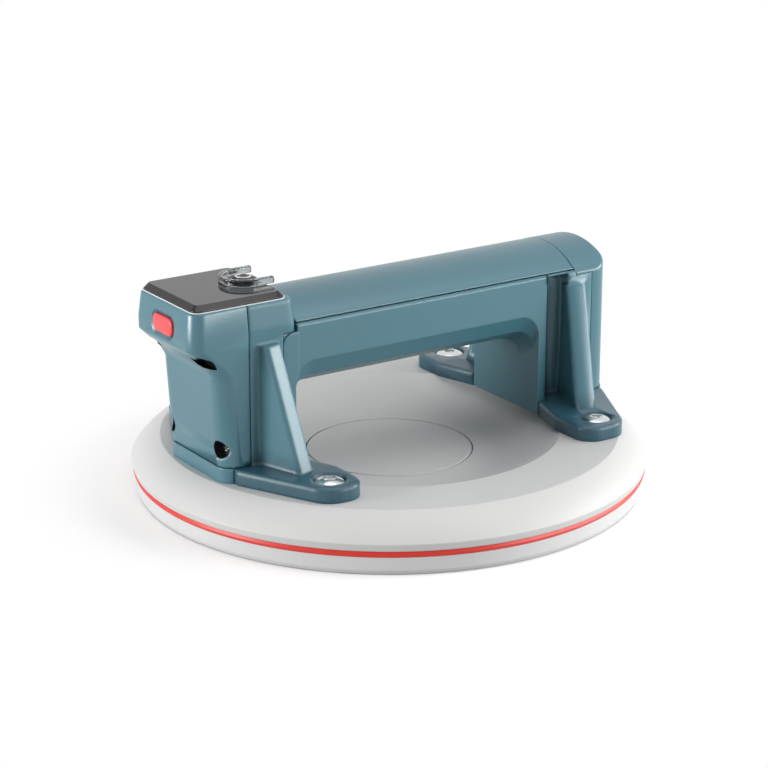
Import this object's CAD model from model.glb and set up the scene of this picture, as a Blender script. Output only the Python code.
"""Studio scene of a battery-powered suction lifter: a rubber cup under a grey disc, with a teal
pump housing, a bar handle and a far tower on it.  All lengths are in metres."""

import math

import bmesh
import bpy
import numpy as np
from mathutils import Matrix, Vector


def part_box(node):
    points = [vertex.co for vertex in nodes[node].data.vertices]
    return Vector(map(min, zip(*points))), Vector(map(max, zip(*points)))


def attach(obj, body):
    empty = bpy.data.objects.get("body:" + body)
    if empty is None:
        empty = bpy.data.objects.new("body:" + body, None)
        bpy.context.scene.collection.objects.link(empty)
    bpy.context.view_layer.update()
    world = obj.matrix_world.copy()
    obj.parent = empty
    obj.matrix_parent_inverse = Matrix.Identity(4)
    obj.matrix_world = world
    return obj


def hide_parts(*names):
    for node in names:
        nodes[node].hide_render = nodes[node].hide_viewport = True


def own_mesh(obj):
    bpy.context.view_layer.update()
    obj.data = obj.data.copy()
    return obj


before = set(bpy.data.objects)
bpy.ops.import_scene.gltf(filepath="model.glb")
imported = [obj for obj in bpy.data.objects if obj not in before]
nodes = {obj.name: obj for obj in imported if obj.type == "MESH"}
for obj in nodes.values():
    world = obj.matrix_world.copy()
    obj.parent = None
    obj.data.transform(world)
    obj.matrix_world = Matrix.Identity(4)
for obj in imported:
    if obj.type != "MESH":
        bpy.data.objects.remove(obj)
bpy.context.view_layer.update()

MM = 0.001
TURN = 2 * math.pi


def placed(name, data):
    """A new object in the scene, with this mesh, lamp or camera in it."""
    made = bpy.data.objects.new(name, data)
    bpy.context.scene.collection.objects.link(made)
    return made


# ---------------------------------------------------------------------------------------------
# Materials: shared steps
# ---------------------------------------------------------------------------------------------

def linear(code):
    """sRGB hex to linear RGBA: each channel c becomes c/12.92 when dark, else ((c+0.055)/1.055)^2.4."""
    channels = [int(code[i:i + 2], 16) / 255 for i in (1, 3, 5)]
    return [c / 12.92 if c <= 0.04045 else ((c + 0.055) / 1.055) ** 2.4 for c in channels] + [1.0]


def add_node(tree, kind, settings=(), links=()):
    """Add one node: settings are property or input values by name, links are inputs fed by sockets."""
    node = tree.nodes.new("ShaderNode" + kind)
    for name, value in dict(settings).items():
        if isinstance(name, str) and hasattr(node, name):
            setattr(node, name, value)
        else:
            node.inputs[name].default_value = value
    for name, socket in dict(links).items():
        tree.links.new(socket, node.inputs[name])
    return node


def new_finish(name, **values):
    """A material with one Principled shader and these plain values on its sockets."""
    material = bpy.data.materials.new(name)
    material.use_nodes = True
    tree = material.node_tree
    tree.nodes.clear()
    shader = add_node(tree, "BsdfPrincipled",
                      {socket.replace("_", " "): value for socket, value in values.items()})
    add_node(tree, "OutputMaterial", links={"Surface": shader.outputs["BSDF"]})
    return material, tree, shader


def dress(tree, shader, colours, gloss, relief):
    """Link a finish to its shader.  Colours are two hex values and the pattern that runs from one to
    the other.  Gloss is two roughness values and a pattern.  Relief is a height pattern, its depth
    and strength, and the radius to which edges are rounded.  Returns the colour and the rounded
    normal."""
    first, second, pattern = colours
    colour = add_node(tree, "Mix", {"data_type": "RGBA", 6: linear(first), 7: linear(second)},
                      {"Factor": pattern}).outputs[2]
    tree.links.new(colour, shader.inputs["Base Color"])
    low, high, pattern = gloss
    rough = add_node(tree, "MapRange", {"To Min": low, "To Max": high}, {"Value": pattern})
    tree.links.new(rough.outputs["Result"], shader.inputs["Roughness"])
    height, depth, strength, edge = relief
    rounded = add_node(tree, "Bevel", {"samples": 6, "Radius": edge}).outputs["Normal"]
    bump = add_node(tree, "Bump", {"Strength": strength, "Distance": depth},
                    {"Height": height, "Normal": rounded})
    tree.links.new(bump.outputs["Normal"], shader.inputs["Normal"])
    return colour, rounded


# ---------------------------------------------------------------------------------------------
# Materials: plastics and rubber
# ---------------------------------------------------------------------------------------------

def moulded(name, base, shade, worn, roughness, grain, depth, edge, grime=None, **values):
    """Injection-moulded plastic.  The colour drifts a little over 40 mm, a spark-eroded grain
    breaks the gloss, handled edges are rubbed paler, and every edge has its moulding radius.  The
    grain is drawn three times coarser than the real 0.2 mm, so that it shows.
    Grime is the colour of an oily film that is left on a foot, up to 34 mm above the floor."""
    material, tree, shader = new_finish(name, IOR=1.53, **values)
    place = add_node(tree, "TexCoord").outputs["Object"]
    drift = add_node(tree, "TexNoise", {"Scale": 1 / (40 * MM), "Detail": 2.0}, {"Vector": place})
    spark = add_node(tree, "TexNoise", {"Scale": 1 / grain, "Detail": 4.0, "Roughness": 0.65},
                     {"Vector": place})
    body, rounded = dress(tree, shader, (base, shade, drift.outputs["Fac"]),
                          (roughness - 0.06, roughness + 0.06, spark.outputs["Fac"]),
                          (spark.outputs["Fac"], depth, 0.35, edge))
    flat = add_node(tree, "NewGeometry").outputs["Normal"]
    bend = add_node(tree, "VectorMath", {"operation": "DOT_PRODUCT"}, {0: rounded, 1: flat})
    rubbed = add_node(tree, "MapRange", {"From Min": 0.99, "From Max": 0.85, "To Max": 0.3},
                      {"Value": bend.outputs["Value"]})
    edges = add_node(tree, "Mix", {"data_type": "RGBA", 7: linear(worn)},
                     {"Factor": rubbed.outputs["Result"], 6: body})
    tree.links.new(edges.outputs[2], shader.inputs["Base Color"])
    if grime:
        height = add_node(tree, "SeparateXYZ", links={"Vector": place}).outputs["Z"]
        low = add_node(tree, "MapRange", {"From Min": 34 * MM, "From Max": 27 * MM, "To Max": 0.85},
                       {"Value": height})
        film = add_node(tree, "Mix", {"data_type": "RGBA", 7: linear(grime)},
                        {"Factor": low.outputs["Result"], 6: edges.outputs[2]})
        tree.links.new(film.outputs[2], shader.inputs["Base Color"])
    return material


def polished(name, base, haze, roughness, edge, **values):
    """Polished or clear plastic.  A faint haze of dust and wiping marks, 6 mm wide, dulls the gloss
    in places; the edges are broken."""
    material, tree, shader = new_finish(name, **values)
    place = add_node(tree, "TexCoord").outputs["Object"]
    wiped = add_node(tree, "TexNoise", {"Scale": 1 / (6 * MM), "Detail": 3.0, "Distortion": 1.5},
                     {"Vector": place})
    dress(tree, shader, (base, haze, wiped.outputs["Fac"]),
          (roughness * 0.6, roughness * 1.6, wiped.outputs["Fac"]),
          (wiped.outputs["Fac"], 0.01 * MM, 0.1, edge))
    return material


def elastomer(name, base, dust, roughness, pore):
    """Soft rubber or silicone: matt, with a fine open pore and a trace of pale dust in it.  The
    pores are drawn several times coarser than real ones, so that they show."""
    material, tree, shader = new_finish(name, IOR=1.43, Sheen_Weight=0.15)
    place = add_node(tree, "TexCoord").outputs["Object"]
    pores = add_node(tree, "TexNoise", {"Scale": 1 / pore, "Detail": 4.0, "Roughness": 0.7},
                     {"Vector": place})
    cloud = add_node(tree, "TexNoise", {"Scale": 1 / (18 * MM), "Detail": 3.0}, {"Vector": place})
    dress(tree, shader, (base, dust, cloud.outputs["Fac"]),
          (roughness - 0.08, roughness + 0.05, pores.outputs["Fac"]),
          (pores.outputs["Fac"], 0.03 * MM, 0.3, 0.3 * MM))
    return material


def open_foam(name):
    """Reticulated foam: round cells 1 mm wide, drawn about twice their real size so that they show."""
    material, tree, shader = new_finish(name, Sheen_Weight=0.3)
    place = add_node(tree, "TexCoord").outputs["Object"]
    cells = add_node(tree, "TexVoronoi", {"Scale": 1 / (1 * MM)}, {"Vector": place})
    dress(tree, shader, ("#151517", "#4A4A4D", cells.outputs["Distance"]),
          (0.85, 1.0, cells.outputs["Distance"]),
          (cells.outputs["Distance"], 0.4 * MM, 0.9, 0.2 * MM))
    return material


# ---------------------------------------------------------------------------------------------
# Materials: metals, boards and cells
# ---------------------------------------------------------------------------------------------

def metal(name, base, stain, roughness, stretch, pitch, depth, edge=0.15 * MM):
    """Bare or plated metal.  Tool marks are a noise drawn out along the axes where stretch is
    small.  The pitch is a few times the real one, so that they show.  A cloudy stain 5 mm wide
    changes colour and gloss."""
    material, tree, shader = new_finish(name, Metallic=1.0)
    place = add_node(tree, "TexCoord").outputs["Object"]
    along = add_node(tree, "Mapping", {"Scale": stretch}, {"Vector": place})
    marks = add_node(tree, "TexNoise", {"Scale": 1 / pitch, "Detail": 3.0},
                     {"Vector": along.outputs["Vector"]})
    cloud = add_node(tree, "TexNoise", {"Scale": 1 / (5 * MM), "Detail": 2.0}, {"Vector": place})
    dress(tree, shader, (base, stain, cloud.outputs["Fac"]),
          (roughness * 0.75, roughness * 1.3, cloud.outputs["Fac"]),
          (marks.outputs["Fac"], depth, 0.4, edge))
    return material


def circuit_board(name):
    """Glass-fibre board: green solder mask over copper tracks on a 1.27 mm grid, which show through
    paler, with bright tinned pads."""
    material, tree, shader = new_finish(name, Coat_Weight=0.3)
    place = add_node(tree, "TexCoord").outputs["Object"]
    tracks = add_node(tree, "TexBrick", {"Scale": 1 / (1.27 * MM), "Mortar Size": 0.12},
                      {"Vector": place})
    pads = add_node(tree, "TexVoronoi", {"Scale": 1 / (3.8 * MM), "Randomness": 0.6},
                    {"Vector": place})
    tinned = add_node(tree, "Math", {"operation": "LESS_THAN", 1: 0.16},
                      {0: pads.outputs["Distance"]})
    mask, _ = dress(tree, shader, ("#1A4F33", "#2F7A50", tracks.outputs["Fac"]),
                    (0.28, 0.42, pads.outputs["Distance"]),
                    (tracks.outputs["Fac"], 0.05 * MM, 0.4, 0.1 * MM))
    colour = add_node(tree, "Mix", {"data_type": "RGBA", 7: linear("#C9CCCE")},
                      {"Factor": tinned.outputs["Value"], 6: mask})
    tree.links.new(colour.outputs[2], shader.inputs["Base Color"])
    tree.links.new(tinned.outputs["Value"], shader.inputs["Metallic"])
    return material


def wrapped_cell(name, low, high, rim):
    """Lithium cells in blue shrink film, in a row from low to high along X.  The film stops a rim
    short of each end of the row, and two rims short of its middle, where the cells meet."""
    material, tree, shader = new_finish(name, Coat_Weight=0.2)
    place = add_node(tree, "TexCoord").outputs["Object"]
    along = add_node(tree, "SeparateXYZ", links={"Vector": place}).outputs["X"]
    offset = add_node(tree, "Math", {"operation": "ADD", 1: -(low + high) / 2}, {0: along})
    reach = add_node(tree, "Math", {"operation": "ABSOLUTE"}, {0: offset.outputs["Value"]})
    past = add_node(tree, "Math", {"operation": "GREATER_THAN", 1: (high - low) / 2 - rim},
                    {0: reach.outputs["Value"]})
    inner = add_node(tree, "Math", {"operation": "LESS_THAN", 1: 2 * rim},
                     {0: reach.outputs["Value"]})
    steel = add_node(tree, "Math", {"operation": "MAXIMUM"},
                     {0: past.outputs["Value"], 1: inner.outputs["Value"]})
    wrinkle = add_node(tree, "TexNoise", {"Scale": 1 / (4 * MM), "Detail": 3.0}, {"Vector": place})
    dress(tree, shader, ("#27548C", "#B4B7BA", steel.outputs["Value"]),
          (0.22, 0.36, wrinkle.outputs["Fac"]),
          (wrinkle.outputs["Fac"], 0.05 * MM, 0.3, 0.2 * MM))
    tree.links.new(steel.outputs["Value"], shader.inputs["Metallic"])
    return material


EVEN = (1.0, 1.0, 1.0)
RINGS_ROUND_Z = (0.02, 0.02, 1.0)
STREAKS_ALONG_Z = (1.0, 1.0, 0.05)
STREAKS_ALONG_X = (0.04, 1.0, 1.0)
TEAL = {"base": "#416E7B", "shade": "#3B6773", "worn": "#6F99A5", "roughness": 0.31,
        "grain": 0.6 * MM, "depth": 0.02 * MM}

# The housing: teal ABS from a spark-eroded mould; satin, with soft highlights along its edges.
teal_abs = moulded("teal_abs_moulded", edge=1.0 * MM, Specular_IOR_Level=0.6, **TEAL)
# The two towers come from a softer mould: their ribs and feet have wider rounds.
teal_abs_ribbed = moulded("teal_abs_ribbed_moulding", edge=2.0 * MM, grime="#234755",
                          Specular_IOR_Level=0.5, **TEAL)
# The disc: pale grey glass-filled nylon, stiffer and a little duller.
grey_nylon = moulded("grey_glass_filled_nylon", "#C3C3C2", "#BDBDBC", "#CCCCCB", roughness=0.5,
                     grain=0.5 * MM, depth=0.02 * MM, edge=0.8 * MM)
# The cup: grey silicone, matt, so that the skirt looks soft under the hard disc.
grey_silicone = elastomer("grey_silicone_matt", "#C3C4C5", "#CBCBCB", roughness=0.65,
                          pore=0.5 * MM)
# The line round the rim: red thermoplastic elastomer, an even satin.
red_elastomer = elastomer("red_thermoplastic_elastomer", "#CE2A1E", "#C8261B", roughness=0.42,
                          pore=0.6 * MM)
# The release button: bright red ABS, satin.
red_abs = moulded("red_abs_moulded", "#F0484C", "#EA4348", "#F87B7C", roughness=0.35,
                  grain=0.5 * MM, depth=0.01 * MM, edge=0.7 * MM)
# The display window: black-backed acrylic, a mirror at a low angle.
black_acrylic = polished("black_backed_acrylic", "#08080A", "#101013", roughness=0.06,
                         edge=0.25 * MM, IOR=1.49)
# The button guard: clear acrylic, seen by its bright edges.
clear_acrylic = polished("clear_acrylic", "#A8AEB1", "#A0A6A9", roughness=0.03, edge=0.3 * MM,
                         IOR=1.49, Transmission_Weight=1.0)
# Inner mouldings and the power button: black ABS, satin.
black_abs = moulded("black_abs_moulded", "#141416", "#101012", "#2C2C2F", roughness=0.35,
                    grain=0.5 * MM, depth=0.01 * MM, edge=0.3 * MM)
# Inside the vents and the screw wells: unfinished black ABS, quite dull, so that they read as holes.
dull_abs = moulded("black_abs_unfinished", "#060607", "#040405", "#0A0A0B", roughness=0.85,
                   grain=0.5 * MM, depth=0.02 * MM, edge=0.1 * MM, Specular_IOR_Level=0.1)
# The frame round the window: a thin pale moulding that catches the light.
pale_abs = moulded("pale_grey_abs_moulded", "#D5D9DA", "#CED2D3", "#E4E7E8", roughness=0.4,
                   grain=0.5 * MM, depth=0.01 * MM, edge=0.1 * MM)
# The hose: milky silicone with a soft sheen.
clear_silicone = elastomer("milky_silicone_hose", "#D9D6CE", "#CFCCC4", roughness=0.45,
                           pore=0.8 * MM)
# The dust filter: black reticulated foam, which swallows the light between its cells.
black_foam = open_foam("open_cell_foam")
# Screws: bright zinc on steel, with a fine even grain that softens its reflections.
zinc_plate = metal("zinc_plated_steel", "#DADCDD", "#C7CACC", roughness=0.2, stretch=EVEN,
                   pitch=0.3 * MM, depth=0.01 * MM)
# The print on the power button: bright silver, flatter than the screws.
silver_print = metal("silver_hot_stamping", "#E3E4E5", "#D9DADB", roughness=0.3, stretch=EVEN,
                     pitch=0.4 * MM, depth=0.005 * MM)
# The motor's can is deep drawn: fine streaks run up it.
drawn_steel = metal("deep_drawn_steel", "#A9ACAF", "#9A9DA0", roughness=0.32,
                    stretch=STREAKS_ALONG_Z, pitch=0.3 * MM, depth=0.01 * MM)
# The rotor and its crank are turned: rings run round the shaft.
turned_steel = metal("turned_steel", "#8C8F92", "#7D8083", roughness=0.3, stretch=RINGS_ROUND_Z,
                     pitch=0.25 * MM, depth=0.02 * MM)
# Inserts and the valve: turned brass, warm, with tool rings.
turned_brass = metal("turned_brass", "#B9975B", "#A98548", roughness=0.28,
                     stretch=RINGS_ROUND_Z, pitch=0.3 * MM, depth=0.02 * MM)
# The backing plate: rolled aluminium sheet, streaks along the rolling direction.
rolled_aluminium = metal("rolled_aluminium", "#C4C6C8", "#B5B7B9", roughness=0.38,
                         stretch=STREAKS_ALONG_X, pitch=0.4 * MM, depth=0.01 * MM)
# Springs: drawn wire, grey from heat treatment.
spring_wire = metal("oil_tempered_spring_wire", "#8F9193", "#77797B", roughness=0.34,
                    stretch=EVEN, pitch=0.3 * MM, depth=0.01 * MM)
# The circuits: green mask with paler tracks and bright pads, so that they read as boards.
fibre_board = circuit_board("glass_fibre_board")
# The cells: blue shrink film, glossy, with bare steel at the ends.
cell_low, cell_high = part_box("battery_cells")
film_cell = wrapped_cell("lithium_cell_in_film", cell_low.x, cell_high.x, rim=1.2 * MM)

FINISHES = {
    teal_abs_ribbed: ("pump_tower", "far_tower"),
    teal_abs: ("pump_cap", "pump_plinth", "far_plinth", "far_cap", "grip_frame", "handle_top"),
    grey_nylon: ("disc_shell", "cover_plate"),
    grey_silicone: ("rubber_cup",),
    red_elastomer: ("accent_ring",),
    red_abs: ("release_button",),
    black_acrylic: ("display_window",),
    black_abs: ("power_base", "power_button", "vacuum_port", "vacuum_pump", "battery_tray"),
    clear_acrylic: ("power_guard",),
    silver_print: ("button_ring",),
    zinc_plate: ("foot_screws", "cap_screws"),
    drawn_steel: ("motor_case",),
    turned_steel: ("motor_rotor",),
    turned_brass: ("foot_inserts", "release_valve"),
    rolled_aluminium: ("backing_plate",),
    spring_wire: ("power_spring", "release_spring"),
    pale_abs: ("display_frame",),
    fibre_board: ("display_board", "control_board"),
    film_cell: ("battery_cells",),
    black_foam: ("intake_filter",),
    clear_silicone: ("suction_hose",),
}
for material, names in FINISHES.items():
    for name in names:
        mesh = nodes[name].data
        mesh.materials.clear()
        mesh.materials.append(material)


# ---------------------------------------------------------------------------------------------
# Pieces: shared steps
# ---------------------------------------------------------------------------------------------

def woven(grids):
    """Points and faces of grids (rows, columns, 3).  Neighbouring points make quads, and each row
    closes on itself."""
    points, faces, first = [], [], 0
    for grid in grids:
        rows, columns = grid.shape[:2]
        index = first + np.arange(rows * columns).reshape(rows, columns)
        index = np.hstack([index, index[:, :1]])
        faces.append(np.stack([index[:-1, :-1], index[:-1, 1:], index[1:, 1:], index[1:, :-1]],
                              axis=-1).reshape(-1, 4))
        points.append(grid.reshape(-1, 3))
        first += rows * columns
    return np.concatenate(points), np.concatenate(faces)


def grid_mesh(name, grids):
    """A mesh woven from grids."""
    mesh = bpy.data.meshes.new(name)
    points, faces = woven(grids)
    mesh.from_pydata(points.tolist(), [], faces.tolist())
    return mesh


def merge(mesh, nearest, sliver=None):
    """Merge a mesh's points that are nearer than this, dissolve faces thinner than a sliver, and
    turn all faces outwards."""
    work = bmesh.new()
    work.from_mesh(mesh)
    bmesh.ops.remove_doubles(work, verts=work.verts, dist=nearest)
    if sliver:
        bmesh.ops.dissolve_degenerate(work, edges=work.edges, dist=sliver)
    bmesh.ops.recalc_face_normals(work, faces=work.faces)
    work.to_mesh(mesh)
    work.free()


def piece(name, grids, material, body, stands_for, sharp=40):
    """One object from grids of points.  Rows that shrink to a point become a pole."""
    return settle(grid_mesh(name, grids), name, material, body, stands_for, sharp)


def settle(mesh, name, material, body, stands_for, sharp):
    """Merge a mesh and make it a finished piece, smooth but for edges sharper than this angle."""
    merge(mesh, 0.002 * MM, sliver=0.001 * MM)
    mesh.shade_smooth()
    mesh.set_sharp_from_angle(angle=math.radians(sharp))
    if not mesh.materials:
        mesh.materials.append(material)
    made = placed(name, mesh)
    even = made.modifiers.new("even_normals", "WEIGHTED_NORMAL")
    even.keep_sharp = True
    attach(made, body)
    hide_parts(stands_for)
    return made


def turned(profile, sides, place, flats=None):
    """A profile of (radius, height) rows turned about an upright axis.  Where flats is 1 the circle
    becomes a hexagon: its radius at angle a is r / cos(((a + 30) mod 60) - 30 degrees)."""
    radius, height = np.array(profile, float).T
    angle = np.linspace(0, TURN, sides, endpoint=False)
    hexagon = 1 / np.cos((angle + TURN / 12) % (TURN / 6) - TURN / 12)
    weight = np.zeros_like(radius) if flats is None else np.array(flats, float)
    reach = radius[:, None] * (1 + weight[:, None] * (hexagon - 1))
    return np.stack([place[0] + reach * np.cos(angle), place[1] + reach * np.sin(angle),
                     np.broadcast_to(height[:, None], reach.shape)], axis=-1)


def rounded_frame(half_width, half_height, corner, sides):
    """Rounded rectangle: a circle of the corner's radius, whose quarters are pushed apart by what
    is left of the half width and half height."""
    angle = np.linspace(0, TURN, sides, endpoint=False) + TURN / (2 * sides)
    across = (half_width - corner) * np.sign(np.cos(angle)) + corner * np.cos(angle)
    up = (half_height - corner) * np.sign(np.sin(angle)) + corner * np.sin(angle)
    return across, up


# ---------------------------------------------------------------------------------------------
# Pieces: screws, button, guard and spring
# ---------------------------------------------------------------------------------------------

def domed_screws():
    """Four pan-head screws.  Each is a turned profile: a hexagonal socket with a lead-in cone, a dome
    that falls with the square of the radius, a short rim, and the plain shank under it."""
    low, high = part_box("foot_screws")
    head, shank, rim, dome = 5.9 * MM, 2.0 * MM, 0.8 * MM, 1.6 * MM
    socket, depth, cone_depth = 2.0 * MM, 1.5 * MM, 0.45 * MM
    cone = socket * 1.3
    round_in, round_down = 0.25 * MM, 0.15 * MM
    sides = 72
    seat = high.z - rim - dome
    rows = [(0, high.z - depth), (socket, high.z - depth), (socket, high.z - cone_depth)]
    rows += [(r, high.z - dome * (r / head) ** 2) for r in np.linspace(cone, head - round_in, 12)]
    rows += [(head, seat + rim - round_down), (head, seat), (shank, seat), (shank, low.z),
             (0, low.z)]
    flats = [0, 1, 1] + [0] * (len(rows) - 3)
    places = [(x, y) for x in (low.x + head, high.x - head) for y in (low.y + head, high.y - head)]
    grids = [turned(rows, sides, place, flats) for place in places]
    piece("domed_screws", grids, zinc_plate, "lifter", "foot_screws",
          sharp=30)


def power_cap():
    """Round push button: a turned profile with a shallow dish in its top, which rises from its
    middle with the square of the radius."""
    low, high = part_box("power_button")
    radius = (high.x - low.x) / 2
    dish, sunk, edge, sides = 2.4 * MM, 0.3 * MM, 0.35 * MM, 72
    inner = np.linspace(0, dish, 8)
    bend = np.linspace(0, TURN / 4, 6)
    rows = [(r, high.z - sunk * (1 - (r / dish) ** 2)) for r in inner]
    rows += [(radius - edge + edge * math.sin(a), high.z - edge + edge * math.cos(a)) for a in bend]
    rows += [(radius, low.z), (0, low.z)]
    middle = ((low.x + high.x) / 2, (low.y + high.y) / 2)
    piece("power_cap", [turned(rows, sides, middle)], black_abs, "power_plunger",
          "power_button")


def clear_guard():
    """Clear fence round the power button.  A rounded bar is carried along a U: two straight arms and
    the half circle between them.  At both tips the bar shrinks like a quarter of an ellipse."""
    low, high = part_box("power_guard")
    wall, tip, corner = 2.0 * MM, 0.9 * MM, 0.6 * MM
    steps, sides = 90, 32
    outer = (high.y - low.y) / 2
    middle = outer - wall / 2
    centre = low.x + outer
    arm = high.x - centre
    run = 2 * arm + math.pi * middle
    near_tip = tip * (1 - np.cos(np.linspace(0, TURN / 4, 7)))
    along = np.concatenate([near_tip, np.linspace(tip, run - tip, steps)[1:-1], run - near_tip[::-1]])
    from_end = np.minimum(np.minimum(along, run - along) / tip, 1)
    swell = np.sqrt(np.maximum(1 - (1 - from_end) ** 2, 0))
    bend = np.clip((along - arm) / middle, 0, math.pi)
    straight = np.where(along < arm, arm - along, np.where(along > run - arm, along - run + arm, 0))
    path_x = centre + straight - middle * np.sin(bend)
    path_y = -middle * np.cos(bend)
    across, up = rounded_frame(wall / 2, (high.z - low.z) / 2, corner, sides)
    grid = np.stack([
        path_x[:, None] - np.outer(swell * np.sin(bend), across),
        path_y[:, None] - np.outer(swell * np.cos(bend), across),
        (high.z + low.z) / 2 + np.outer(swell, up),
    ], axis=-1)
    piece("clear_guard", [grid], clear_acrylic, "lifter", "power_guard")


def release_pad():
    """Red push button.  Rings of a rounded rectangle run from the middle of its gently crowned face
    over a quarter-round edge, back along its sides, out round the flange, and in to the stem."""
    low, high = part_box("release_button")
    flange, edge, crown = 0.8 * MM, 1.0 * MM, 0.25 * MM
    corner, stem, sides = 2.9 * MM, 2.0 * MM, 64
    half_y = (high.y - low.y) / 2 - flange
    half_z = (high.z - low.z) / 2 - flange
    middle_z = (high.z + low.z) / 2
    flange_x, back_x = low.x + 3.2 * MM, low.x + 4.2 * MM
    face = [(s, -edge, low.x + crown * s ** 2) for s in np.linspace(0, 1, 10)]
    bend = [(1, edge * (math.sin(a) - 1), low.x + crown + (edge - crown) * (1 - math.cos(a)))
            for a in np.linspace(0, TURN / 4, 7)]
    rings = face + bend + [(1, 0, flange_x), (1, flange, flange_x), (1, flange, back_x)]
    grid = []
    for scale, grow, x in rings:
        across, up = rounded_frame(half_y + grow, half_z + grow, corner + grow, sides)
        grid.append(np.stack([np.full(sides, x), across * scale, middle_z + up * scale], axis=-1))
    angle = np.linspace(0, TURN, sides, endpoint=False) + TURN / (2 * sides)
    for reach, x in ((stem, back_x), (stem, high.x), (0, high.x)):
        grid.append(np.stack([np.full(sides, x), reach * np.cos(angle),
                              middle_z + reach * np.sin(angle)], axis=-1))
    piece("release_pad", [np.array(grid)], red_abs, "release_plunger",
          "release_button")


def return_spring():
    """Coil spring on the stem.  A round wire is carried along a helix about the X axis.  At a share s
    of the turns it has come s - sin(2 pi s) / (4 pi) of the way, so its pitch falls by half towards
    both ends, where the coils close up, and the wire tapers to its tips."""
    low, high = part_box("release_spring")
    wire, turns, travel, tips = 0.3 * MM, 3, 1.2 * MM, 60
    steps_per_turn, sides = 40, 16
    coil = (high.y - low.y) / 2 - wire
    share = np.linspace(0, 1, steps_per_turn * turns)
    angle = share * turns * TURN
    ease = share - np.sin(share * TURN) / (2 * TURN)
    axis_x = low.x + wire + (high.x - low.x - 2 * wire) * ease
    round_wire = np.linspace(0, TURN, sides, endpoint=False)
    taper = np.sqrt(np.clip(np.minimum(share, 1 - share) * tips, 0, 1))
    reach = coil + np.outer(taper, wire * np.cos(round_wire))
    middle_z = (low.z + high.z) / 2
    grid = np.stack([
        axis_x[:, None] + np.outer(taper, wire * np.sin(round_wire)),
        reach * np.cos(angle)[:, None],
        middle_z + reach * np.sin(angle)[:, None],
    ], axis=-1)
    coiled = piece("return_spring", [grid], spring_wire, "lifter",
                   "release_spring")
    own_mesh(coiled)


def snap_dome():
    """Snap dome under the power button: a thin spring-steel cap whose height falls with the square
    of the radius.  It is squashed by 0.02 mm more than the button travels, so that they stay apart."""
    low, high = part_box("power_spring")
    radius, wall, sides = (high.x - low.x) / 2, 0.25 * MM, 64
    crown = high.z - low.z - wall
    out = np.linspace(0, 1, 12)
    rows = [(radius * s, high.z - crown * s ** 2) for s in out]
    rows += [((radius - wall) * s, high.z - wall - crown * s ** 2) for s in out[::-1]]
    middle = ((low.x + high.x) / 2, (low.y + high.y) / 2)
    dome = piece("snap_dome", [turned(rows, sides, middle)], spring_wire, "lifter",
                 "power_spring", sharp=60)
    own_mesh(dome)


domed_screws()
snap_dome()
power_cap()
clear_guard()
release_pad()
return_spring()


# ---------------------------------------------------------------------------------------------
# Pieces: housing shells with their cuts
# ---------------------------------------------------------------------------------------------

X_AXIS, Z_AXIS = 0, 2
SHELL_SHARP = 32        # degrees: a sharper edge stays an edge
PAST_WALL = 24 * MM     # a side cut ends out here, clear of the wall
SEAM_OPENING = 0.3 * MM


def lens(start, end, sagitta):
    """Outline of a lens in the XZ plane.  Each side leaves the chord by the sagitta times sin(pi s),
    with s from 0 to 1 along the chord."""
    share = np.linspace(0, 1, 17)
    chord = np.array(end) - np.array(start)
    normal = np.array([-chord[1], chord[0]]) / np.linalg.norm(chord)
    sides = [np.array(start) + np.outer(share, chord)
             + np.outer(sign * sagitta * np.sin(math.pi * share), normal) for sign in (1, -1)]
    return np.concatenate([sides[0], sides[1][-2:0:-1]])


def side_cuts(outline, inner, outer):
    """Two closed prisms, one through each side wall: an outline in the XZ plane is carried along Y
    from the inner distance to the outer one, and both its ends close on their middle."""
    middle = np.broadcast_to(outline.mean(axis=0), outline.shape)
    return [np.array([np.stack([flat[:, 0], np.full(len(outline), y), flat[:, 1]], axis=-1)
                      for flat, y in ((middle, near), (outline, near), (outline, far),
                                      (middle, far))])
            for near, far in ((-outer, -inner), (inner, outer))]


def cut_copy(node, grids, finish, lining):
    """A merged copy of a housing shell with closed shapes cut out of it; the cuts get the lining."""
    blank = grid_mesh(node + "_cutter", grids)
    shell = nodes[node].data.copy()
    shell.materials.clear()
    for mesh in (blank, shell):
        for layer in (finish, lining):
            mesh.materials.append(layer)
        merge(mesh, 0.001 * MM)
    blank.polygons.foreach_set("material_index", np.ones(len(blank.polygons), int))
    cutter = placed(node + "_cutter", blank)
    stock = placed(node + "_stock", shell)
    cut = stock.modifiers.new("cut", "BOOLEAN")
    cut.operation = "DIFFERENCE"
    cut.solver = "EXACT"
    cut.object = cutter
    bpy.context.view_layer.update()
    graph = bpy.context.evaluated_depsgraph_get()
    mesh = bpy.data.meshes.new_from_object(stock.evaluated_get(graph))
    bpy.data.objects.remove(stock)
    bpy.data.objects.remove(cutter)
    return mesh


def open_seam(mesh, axis, end, shift):
    """Draw the rim at one end of a shell back by the shift, so that its seam shows as a dark line.
    The rim is every point within reach of that end."""
    reach = 0.05 * MM
    points = np.empty(len(mesh.vertices) * 3)
    mesh.vertices.foreach_get("co", points)
    along = points.reshape(-1, 3)[:, axis]
    along[np.abs(along - end(along)) < reach] += shift
    mesh.vertices.foreach_set("co", points)


def top_shell():
    """Arched top shell of the bar, with its lower rim drawn up from the seam."""
    mesh = nodes["handle_top"].data.copy()
    open_seam(mesh, Z_AXIS, np.min, SEAM_OPENING)
    settle(mesh, "top_shell", teal_abs, "lifter", "handle_top", SHELL_SHARP)


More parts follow.
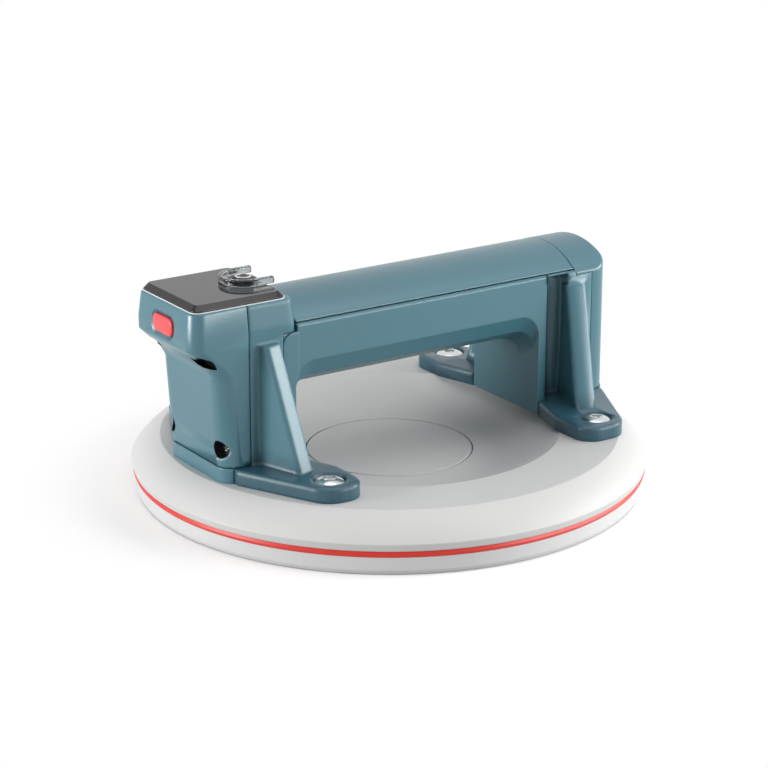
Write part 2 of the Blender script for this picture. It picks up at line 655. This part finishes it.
def vented_cap():
    """Pump cap with a lens-shaped vent on each side, in the rounded corner under its head.  The vents
    and the screw wells are lined with black."""
    upper, lower = (-97.6 * MM, 72.4 * MM), (-90.2 * MM, 67.3 * MM)
    vent = lens(upper, lower, sagitta=1.7 * MM)
    vent_floor, rear_opening = 13.5 * MM, 0.25 * MM
    mesh = cut_copy("pump_cap", side_cuts(vent, vent_floor, PAST_WALL), teal_abs, dull_abs)
    low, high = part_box("cap_screws")
    screw_head, well = 2.9 * MM, 3.45 * MM      # the lining reaches 0.05 mm past a well's wall
    across, up = high.y - screw_head, (low.z + high.z) / 2
    centres = np.empty(len(mesh.polygons) * 3)
    mesh.polygons.foreach_get("center", centres)
    _, y, z = centres.reshape(-1, 3).T
    lined = np.empty(len(mesh.polygons), int)
    mesh.polygons.foreach_get("material_index", lined)
    lined[np.hypot(np.abs(y) - across, z - up) < well] = 1
    mesh.polygons.foreach_set("material_index", lined)
    open_seam(mesh, Z_AXIS, np.min, SEAM_OPENING)
    open_seam(mesh, X_AXIS, np.max, -rear_opening)
    settle(mesh, "vented_cap", teal_abs, "lifter", "pump_cap", SHELL_SHARP)


def slotted_tower():
    """Far tower whose upright slots run on up to 0.4 mm below its rim.  The cut stands in by 0.05 mm
    from the sides and the back of the slots, so that no two faces fall on each other."""
    near_x, far_x, low_z, top_z = 60.85 * MM, 70.75 * MM, 75.0 * MM, 78.8 * MM
    slot_floor = 16.55 * MM
    slot = np.array([(near_x, low_z), (near_x, top_z), (far_x, top_z), (far_x, low_z)])
    mesh = cut_copy("far_tower", side_cuts(slot, slot_floor, PAST_WALL), teal_abs_ribbed,
                    teal_abs_ribbed)
    settle(mesh, "slotted_tower", teal_abs_ribbed, "lifter", "far_tower",
           SHELL_SHARP)


top_shell()
slotted_tower()
vented_cap()


# ---------------------------------------------------------------------------------------------
# Floor, light and camera
# ---------------------------------------------------------------------------------------------

WHITE = (1, 1, 1, 1)
LAMP_AIM = Vector((0, 0, 0.05))


def seen_directly(tree):
    """1 for camera, mirror and glass rays, 0 for light that is scattered on."""
    path = add_node(tree, "LightPath")
    mirror = add_node(tree, "Math", {"operation": "MAXIMUM"},
                      {0: path.outputs["Is Camera Ray"], 1: path.outputs["Is Glossy Ray"]})
    seen = add_node(tree, "Math", {"operation": "MAXIMUM"},
                    {0: mirror.outputs["Value"], 1: path.outputs["Is Transmission Ray"]})
    return seen.outputs["Value"]


def studio_floor():
    """Pale floor.  Under the object it is matt paint that holds the shadow; from 98 to 150 mm out it
    fades to plain white.  Scattered light meets it as mid grey, which keeps undersides dark."""
    half, fade_start, fade_end = 6.0, 98 * MM, 150 * MM
    mesh = bpy.data.meshes.new("studio_floor")
    mesh.from_pydata([(-half, -half, 0), (half, -half, 0), (half, half, 0), (-half, half, 0)],
                     [], [(0, 1, 2, 3)])
    floor = placed("studio_floor", mesh)
    floor.location.z = -0.3 * MM
    material, tree, shader = new_finish("matt_floor_paint", Roughness=0.9)
    mesh.materials.append(material)
    seen = seen_directly(tree)
    paint = add_node(tree, "Mix", {"data_type": "RGBA", 6: linear("#A8A8A8"),
                                   7: linear("#FFFFFF")}, {"Factor": seen})
    tree.links.new(paint.outputs[2], shader.inputs["Base Color"])
    place = add_node(tree, "TexCoord").outputs["Object"]
    distance = add_node(tree, "VectorMath", {"operation": "LENGTH"}, {0: place})
    away = add_node(tree, "MapRange", {"interpolation_type": "SMOOTHSTEP", "From Min": fade_start,
                                       "From Max": fade_end}, {"Value": distance.outputs["Value"]})
    share = add_node(tree, "Math", {"operation": "MULTIPLY"},
                     {0: away.outputs["Result"], 1: seen})
    white = add_node(tree, "Emission", {"Color": WHITE, "Strength": 1.0})
    mix = add_node(tree, "MixShader", {}, {0: share.outputs["Value"], 1: shader.outputs["BSDF"],
                                           2: white.outputs["Emission"]})
    output = next(node for node in tree.nodes if node.bl_idname == "ShaderNodeOutputMaterial")
    tree.links.new(mix.outputs["Shader"], output.inputs["Surface"])


def white_surround(ambient):
    """World that looks white, and lights the object with this much ambient light."""
    world = bpy.data.worlds.new("white_surround")
    bpy.context.scene.world = world
    world.use_nodes = True
    tree = world.node_tree
    tree.nodes.clear()
    dim = add_node(tree, "Background", {"Color": WHITE, "Strength": ambient})
    white = add_node(tree, "Background", {"Color": WHITE, "Strength": 1.0})
    mix = add_node(tree, "MixShader", {}, {0: seen_directly(tree), 1: dim.outputs["Background"],
                                           2: white.outputs["Background"]})
    add_node(tree, "OutputWorld", {}, {"Surface": mix.outputs["Shader"]})


def softbox(name, place, width, height, watts):
    """A rectangular lamp that faces the object."""
    lamp = bpy.data.lights.new(name, "AREA")
    lamp.shape = "RECTANGLE"
    lamp.size = width
    lamp.size_y = height
    lamp.energy = watts
    box = placed(name, lamp)
    box.location = place
    box.rotation_euler = (LAMP_AIM - Vector(place)).to_track_quat("-Z", "Y").to_euler()


studio_floor()
white_surround(ambient=0.42)
softbox("right_key", (0.88, -0.42, 0.26), width=0.5, height=0.4, watts=6.8)
softbox("left_key", (-0.95, 0.2, 0.15), width=0.35, height=0.35, watts=9)
softbox("front_right", (0.55, -0.92, 0.28), width=0.5, height=0.3, watts=6.3)
softbox("top_fill", (0.1, -0.1, 1.3), width=1.2, height=1.2, watts=6)

# The camera looks down on the part from in front of its left end.
VIEW_AZIMUTH = math.radians(33.54)
VIEW_ELEVATION = math.radians(18.67)
VIEW_DISTANCE = 0.9984
VIEW_AIM = Vector((0.00275, 0.00788, 0.0363))
LENS_MM = 117.2
SENSOR_MM = 36.0

camera_data = bpy.data.cameras.new("camera")
camera_data.lens = LENS_MM
camera_data.sensor_width = SENSOR_MM
camera = placed("camera", camera_data)
look = Vector((math.sin(VIEW_AZIMUTH) * math.cos(VIEW_ELEVATION),
               math.cos(VIEW_AZIMUTH) * math.cos(VIEW_ELEVATION), -math.sin(VIEW_ELEVATION)))
camera.location = VIEW_AIM - look * VIEW_DISTANCE
camera.rotation_euler = look.to_track_quat("-Z", "Y").to_euler()
bpy.context.scene.camera = camera
bpy.context.scene.view_settings.view_transform = "Standard"
